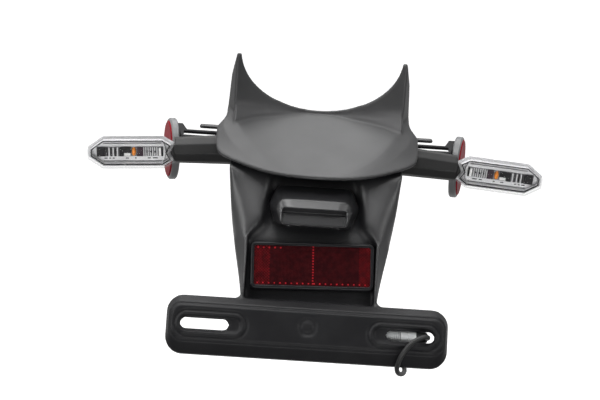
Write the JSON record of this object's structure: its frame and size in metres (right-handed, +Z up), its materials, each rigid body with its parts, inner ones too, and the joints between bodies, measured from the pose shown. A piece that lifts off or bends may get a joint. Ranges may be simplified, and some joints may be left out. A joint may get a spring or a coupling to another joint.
{
  "type": "motorcycle tail tidy",
  "caption": "Black rear fender and number plate holder for a motorcycle, with a horned tail cover, plate lamp, red reflectors, indicators on short stalks and a slotted plate bar.",
  "frame": {"origin": "middle of the bolt pattern, on top of the mounting tongue", "axes": "+Y forward on the motorcycle, +X to the right as seen from behind, +Z up"},
  "size_m": [0.3616, 0.2184, 0.2143],
  "materials": {
    "fender_plastic": "fine matte moulding grain",
    "cover_plastic": "fine matte moulding grain",
    "hood_plastic": "satin black",
    "stalk_rubber": "matte black",
    "black_rubber": "matte black",
    "clear_lens": "clear",
    "red_lens": "clear red over prisms",
    "reflector_tray": "black",
    "grey_housing": "satin grey",
    "lamp_plate": "satin grey",
    "board": "matte",
    "amber_chip": "amber",
    "white_chip": "pale yellow",
    "steel": "zinc plated",
    "bracket_steel": "black paint",
    "connector_plastic": "pale grey"
  },
  "bodies": {
    "root": {"fender_body": "fender_plastic", "mount_collars": "steel", "upper_cover": "cover_plastic", "cover_screws": "steel", "plate_lamp_hood": "hood_plastic", "plate_lamp_gasket": "black_rubber", "plate_lamp_lens": "clear_lens", "plate_lamp_board": "board", "plate_lamp_leds": "white_chip", "plate_lamp_screws": "steel", "rear_reflector_back": "reflector_tray", "rear_reflector_lens": "red_lens", "rear_reflector_washer": "steel", "rear_reflector_nut": "steel", "bracket_bolts": "steel", "bracket_nuts": "steel", "lead_grommet": "black_rubber", "lamp_lead": "black_rubber", "lead_connector": "connector_plastic", "left_indicator_stalk": "stalk_rubber", "left_indicator_washer": "steel", "left_indicator_nut": "steel", "left_indicator_housing": "grey_housing", "left_indicator_reflector": "lamp_plate", "left_indicator_board": "board", "left_indicator_led": "amber_chip", "left_indicator_guide": "clear_lens", "left_indicator_lens": "clear_lens", "left_side_reflector_bracket": "bracket_steel", "left_side_reflector_body": "grey_housing", "left_side_reflector_lens": "red_lens", "left_side_reflector_nut": "steel", "right_indicator_stalk": "stalk_rubber", "right_indicator_washer": "steel", "right_indicator_nut": "steel", "right_indicator_housing": "grey_housing", "right_indicator_reflector": "lamp_plate", "right_indicator_board": "board", "right_indicator_led": "amber_chip", "right_indicator_guide": "clear_lens", "right_indicator_lens": "clear_lens", "right_side_reflector_bracket": "bracket_steel", "right_side_reflector_body": "grey_housing", "right_side_reflector_lens": "red_lens", "right_side_reflector_nut": "steel"}
  },
  "joints": []
}
